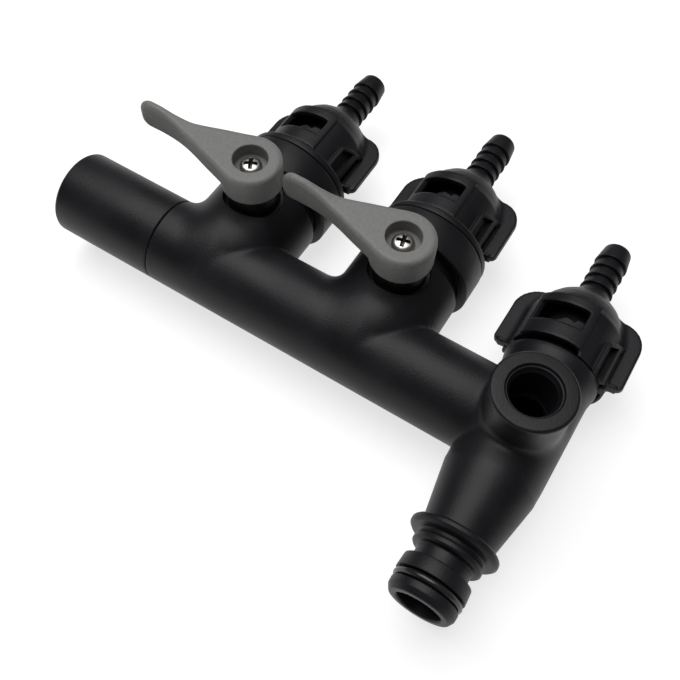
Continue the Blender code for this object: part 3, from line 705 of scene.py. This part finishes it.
def cap_field(x, y, z):
    """Twist-lock cap without its barb: skirt, dome, panels, windows, lips, pockets, wings, foot rim."""
    radius = np.hypot(x, z)
    shell = [
        (-3.0, 60.2), (4.9, 60.2), (5.2, 59.7), (6.0, 58.0), (7.4, 56.0), (9.5, 53.9), (11.9, 51.5),
        (13.6, 49.0), (14.7, 46.7), (15.4, 44.8), (CAP_R, 42.8), (CAP_R, 24.7), (-3.0, 24.7),
    ]
    solid = polygon_field(radius, y, shell)
    hollow = [
        (-3.0, 46.6), (12.75, 46.6), (12.75, 43.8), (14.0, 43.8), (15.2, 42.2), (15.2, 20.0), (-3.0, 20.0),
    ]
    inside = polygon_field(radius, y, hollow)
    side = np.abs(x)
    plate = polygon_field(side, y, WING_OUTLINE)
    plate = blend_max(plate, np.abs(z) - 1.3, 0.8)
    foot = blend_max(slab(side, 15.5, 20.6), slab(y, 26.8, 28.0), 0.5)
    foot = blend_max(foot, np.abs(z) - 1.9, 0.5)
    plate = blend_min(plate, foot, 0.4)
    solid = blend_min(solid, plate, 2.6)
    for turn in (0.0, 180.0):
        panel = blend_max(radius - PANEL_R, slab(y, 24.7, 44.3), 0.5)
        panel = blend_max(panel, span_field(x, z, *PANEL_SPAN, turn), 0.4)
        solid = blend_min(solid, panel, 0.3)
        lip = np.maximum(slab(y, 28.0, 32.4), span_field(x, z, -46.0, 17.0, turn))
        inside = np.maximum(inside, -np.maximum(lip, 12.8 - radius))
        way = -1.0 if turn else 1.0
        block = blend_max(unrolled_field(way * x, y, way * z, POCKET_BLOCK), radius - POCKET_TOP_R, 0.5)
        solid = blend_min(solid, block, 0.4)
        for outline in POCKETS:
            pocket = blend_max(unrolled_field(way * x, y, way * z, outline), POCKET_FLOOR_R - radius, 0.4)
            solid = blend_max(solid, -pocket, 0.4)
        window = blend_max(slab(y, 32.6, 40.4), span_field(x, z, *WINDOW_SPAN, turn), 0.9)
        window = np.maximum(window, 11.0 - radius)
        solid = blend_max(solid, -window, 0.35)
        notch = blend_max(slab(y, 20.0, 26.7), span_field(x, z, *RIM_SPAN, turn), 2.0)
        notch = np.maximum(notch, 13.0 - radius)
        solid = blend_max(solid, -notch, 0.35)
    foot_rim = blend_max(radius - FOOT_RIM_R, slab(y, 24.7, 28.6), 0.6)
    foot_rim = blend_max(foot_rim, span_field(x, z, *FOOT_RIM_SPAN, 0.0), 0.8)
    solid = blend_min(solid, foot_rim, 0.8)
    groove = np.maximum(slab(y, 20.0, 26.8), span_field(x, z, *FOOT_GROOVE_SPAN, 0.0))
    solid = blend_max(solid, -np.maximum(groove, radius - FOOT_GROOVE_R), 0.3)
    return np.maximum(solid, -inside)


def make_caps():
    """Make the three twist-lock caps from one mesh."""
    points, faces = field_mesh(cap_field, (-24.0, 23.6, -18.6), (24.0, 61.5, 18.6), CAP_CELL)
    barb = [(0.0, 80.3), (4.5, 80.3, 0.3), (4.9, 79.7, 0.3)]
    for edge in (73.3, 69.0, 64.6, 60.6):
        barb += [(5.85, edge, 0.1), (4.6, edge - 0.05), (4.6, edge - 0.5), (5.1, edge - 0.6, 0.1)]
    barb += [(5.2, 59.6), (5.0, 58.5), (4.5, 57.0), (0.0, 57.0)]
    barb_points, barb_faces = lathe_mesh(soften(barb))
    bore = soften([
        (0.0, 85.0), (3.6, 85.0), (3.6, 80.4), (3.2, 80.0), (3.2, 53.0), (7.0, 46.3), (7.0, 45.0),
        (0.0, 45.0),
    ])
    bore_points, bore_faces = lathe_mesh(bore)
    for number, (x, turn) in enumerate(zip(OUTLET_X, OUTLET_TURN), 1):
        shift = (x, OUTLET_SHIFT if number < 3 else 0.0, 0.0)
        cap = mesh_object(f"twist_cap_{number}", points, faces, turn, shift)
        join(cap, mesh_object("barb", barb_points, barb_faces, turn, shift))
        cut(cap, mesh_object("bore", bore_points, bore_faces, turn, shift))
        finish(cap, BLACK, f"outlet_{number}_twist_cap", [f"outlet_{number}_cap"])


# ---------------------------------------------------------------- assembly

make_body()
make_end_cap()
make_o_ring("inlet_ring", 10.05, 1.05, "y", (0.0, -58.8, 0.0), "manifold", "inlet_o_ring")
for valve, valve_x in enumerate(VALVE_X, 1):
    make_lever(valve, valve_x)
    make_screw(valve, valve_x)
    make_collar(valve, valve_x)
    make_nose(valve, valve_x)
make_caps()

CARRIED = {
    "ball": ACETAL, "stem": BLACK, "stem_o_ring_lower": RUBBER, "stem_o_ring_upper": RUBBER,
    "inner_seat": PTFE, "outer_seat": PTFE, "nose_o_ring": RUBBER,
}
for valve in (1, 2):
    for part, finish_material in CARRIED.items():
        node = frame["nodes"][f"valve_{valve}_{part}"]
        node.data.materials.clear()
        node.data.materials.append(finish_material)
for outlet in (1, 2, 3):
    node = frame["nodes"][f"outlet_{outlet}_gasket"]
    node.data.materials.clear()
    node.data.materials.append(RUBBER)


# ---------------------------------------------------------------- floor, light and camera

def make_floor():
    """Make a plain pale floor at the height of the splitter's underside."""
    half = 3.0
    mesh = bpy.data.meshes.new("floor")
    corners = [(-half, -half, 0.0), (half, -half, 0.0), (half, half, 0.0), (-half, half, 0.0)]
    mesh.from_pydata(corners, [], [[0, 1, 2, 3]])
    floor = bpy.data.objects.new("floor", mesh)
    bpy.context.scene.collection.objects.link(floor)
    material = bpy.data.materials.new("pale_floor")
    material.use_nodes = True
    shader = material.node_tree.nodes["Principled BSDF"]
    socket(shader, "Base Color", (0.40, 0.40, 0.40, 1.0))
    socket(shader, "Emission Color", (1.0, 1.0, 1.0, 1.0))
    socket(shader, "Emission Strength", 0.72)
    socket(shader, "Roughness", 0.9)
    mesh.materials.append(material)


def make_light(name, place, target, size, power):
    """Make one soft rectangular light."""
    data = bpy.data.lights.new(name, "AREA")
    data.shape = "RECTANGLE"
    data.size, data.size_y = size
    data.energy = power
    light = bpy.data.objects.new(name, data)
    light.location = place
    light.rotation_euler = (Vector(target) - Vector(place)).to_track_quat("-Z", "Y").to_euler()
    bpy.context.scene.collection.objects.link(light)


def make_camera():
    """Make the camera at the solved viewing place."""
    data = bpy.data.cameras.new("camera")
    data.sensor_width = 36.0
    data.lens = 45.72
    data.clip_start = 0.01
    data.clip_end = 20.0
    camera = bpy.data.objects.new("camera", data)
    place = (np.array([5.8643, -125.1343, 247.5274]) + ORIGIN) * MM
    right = Vector((0.8492, 0.5276, 0.0214))
    up = Vector((-0.4675, 0.7324, 0.4949))
    back = Vector((0.2455, -0.4303, 0.8687))
    rotation = Matrix((right, up, back)).transposed().to_4x4()
    camera.matrix_world = Matrix.Translation(place) @ rotation
    bpy.context.scene.collection.objects.link(camera)
    bpy.context.scene.camera = camera


make_floor()
make_light("key", (-0.24, 0.10, 0.965), (0.0, 0.0, 0.0), (0.95, 0.95), 11.0)
make_camera()
world = bpy.data.worlds.new("studio")
world.use_nodes = True
backdrop = world.node_tree.nodes["Background"]
socket(backdrop, "Color", (1.0, 1.0, 1.0, 1.0))
socket(backdrop, "Strength", 0.10)
bpy.context.scene.world = world
bpy.context.scene.view_settings.view_transform = "Standard"
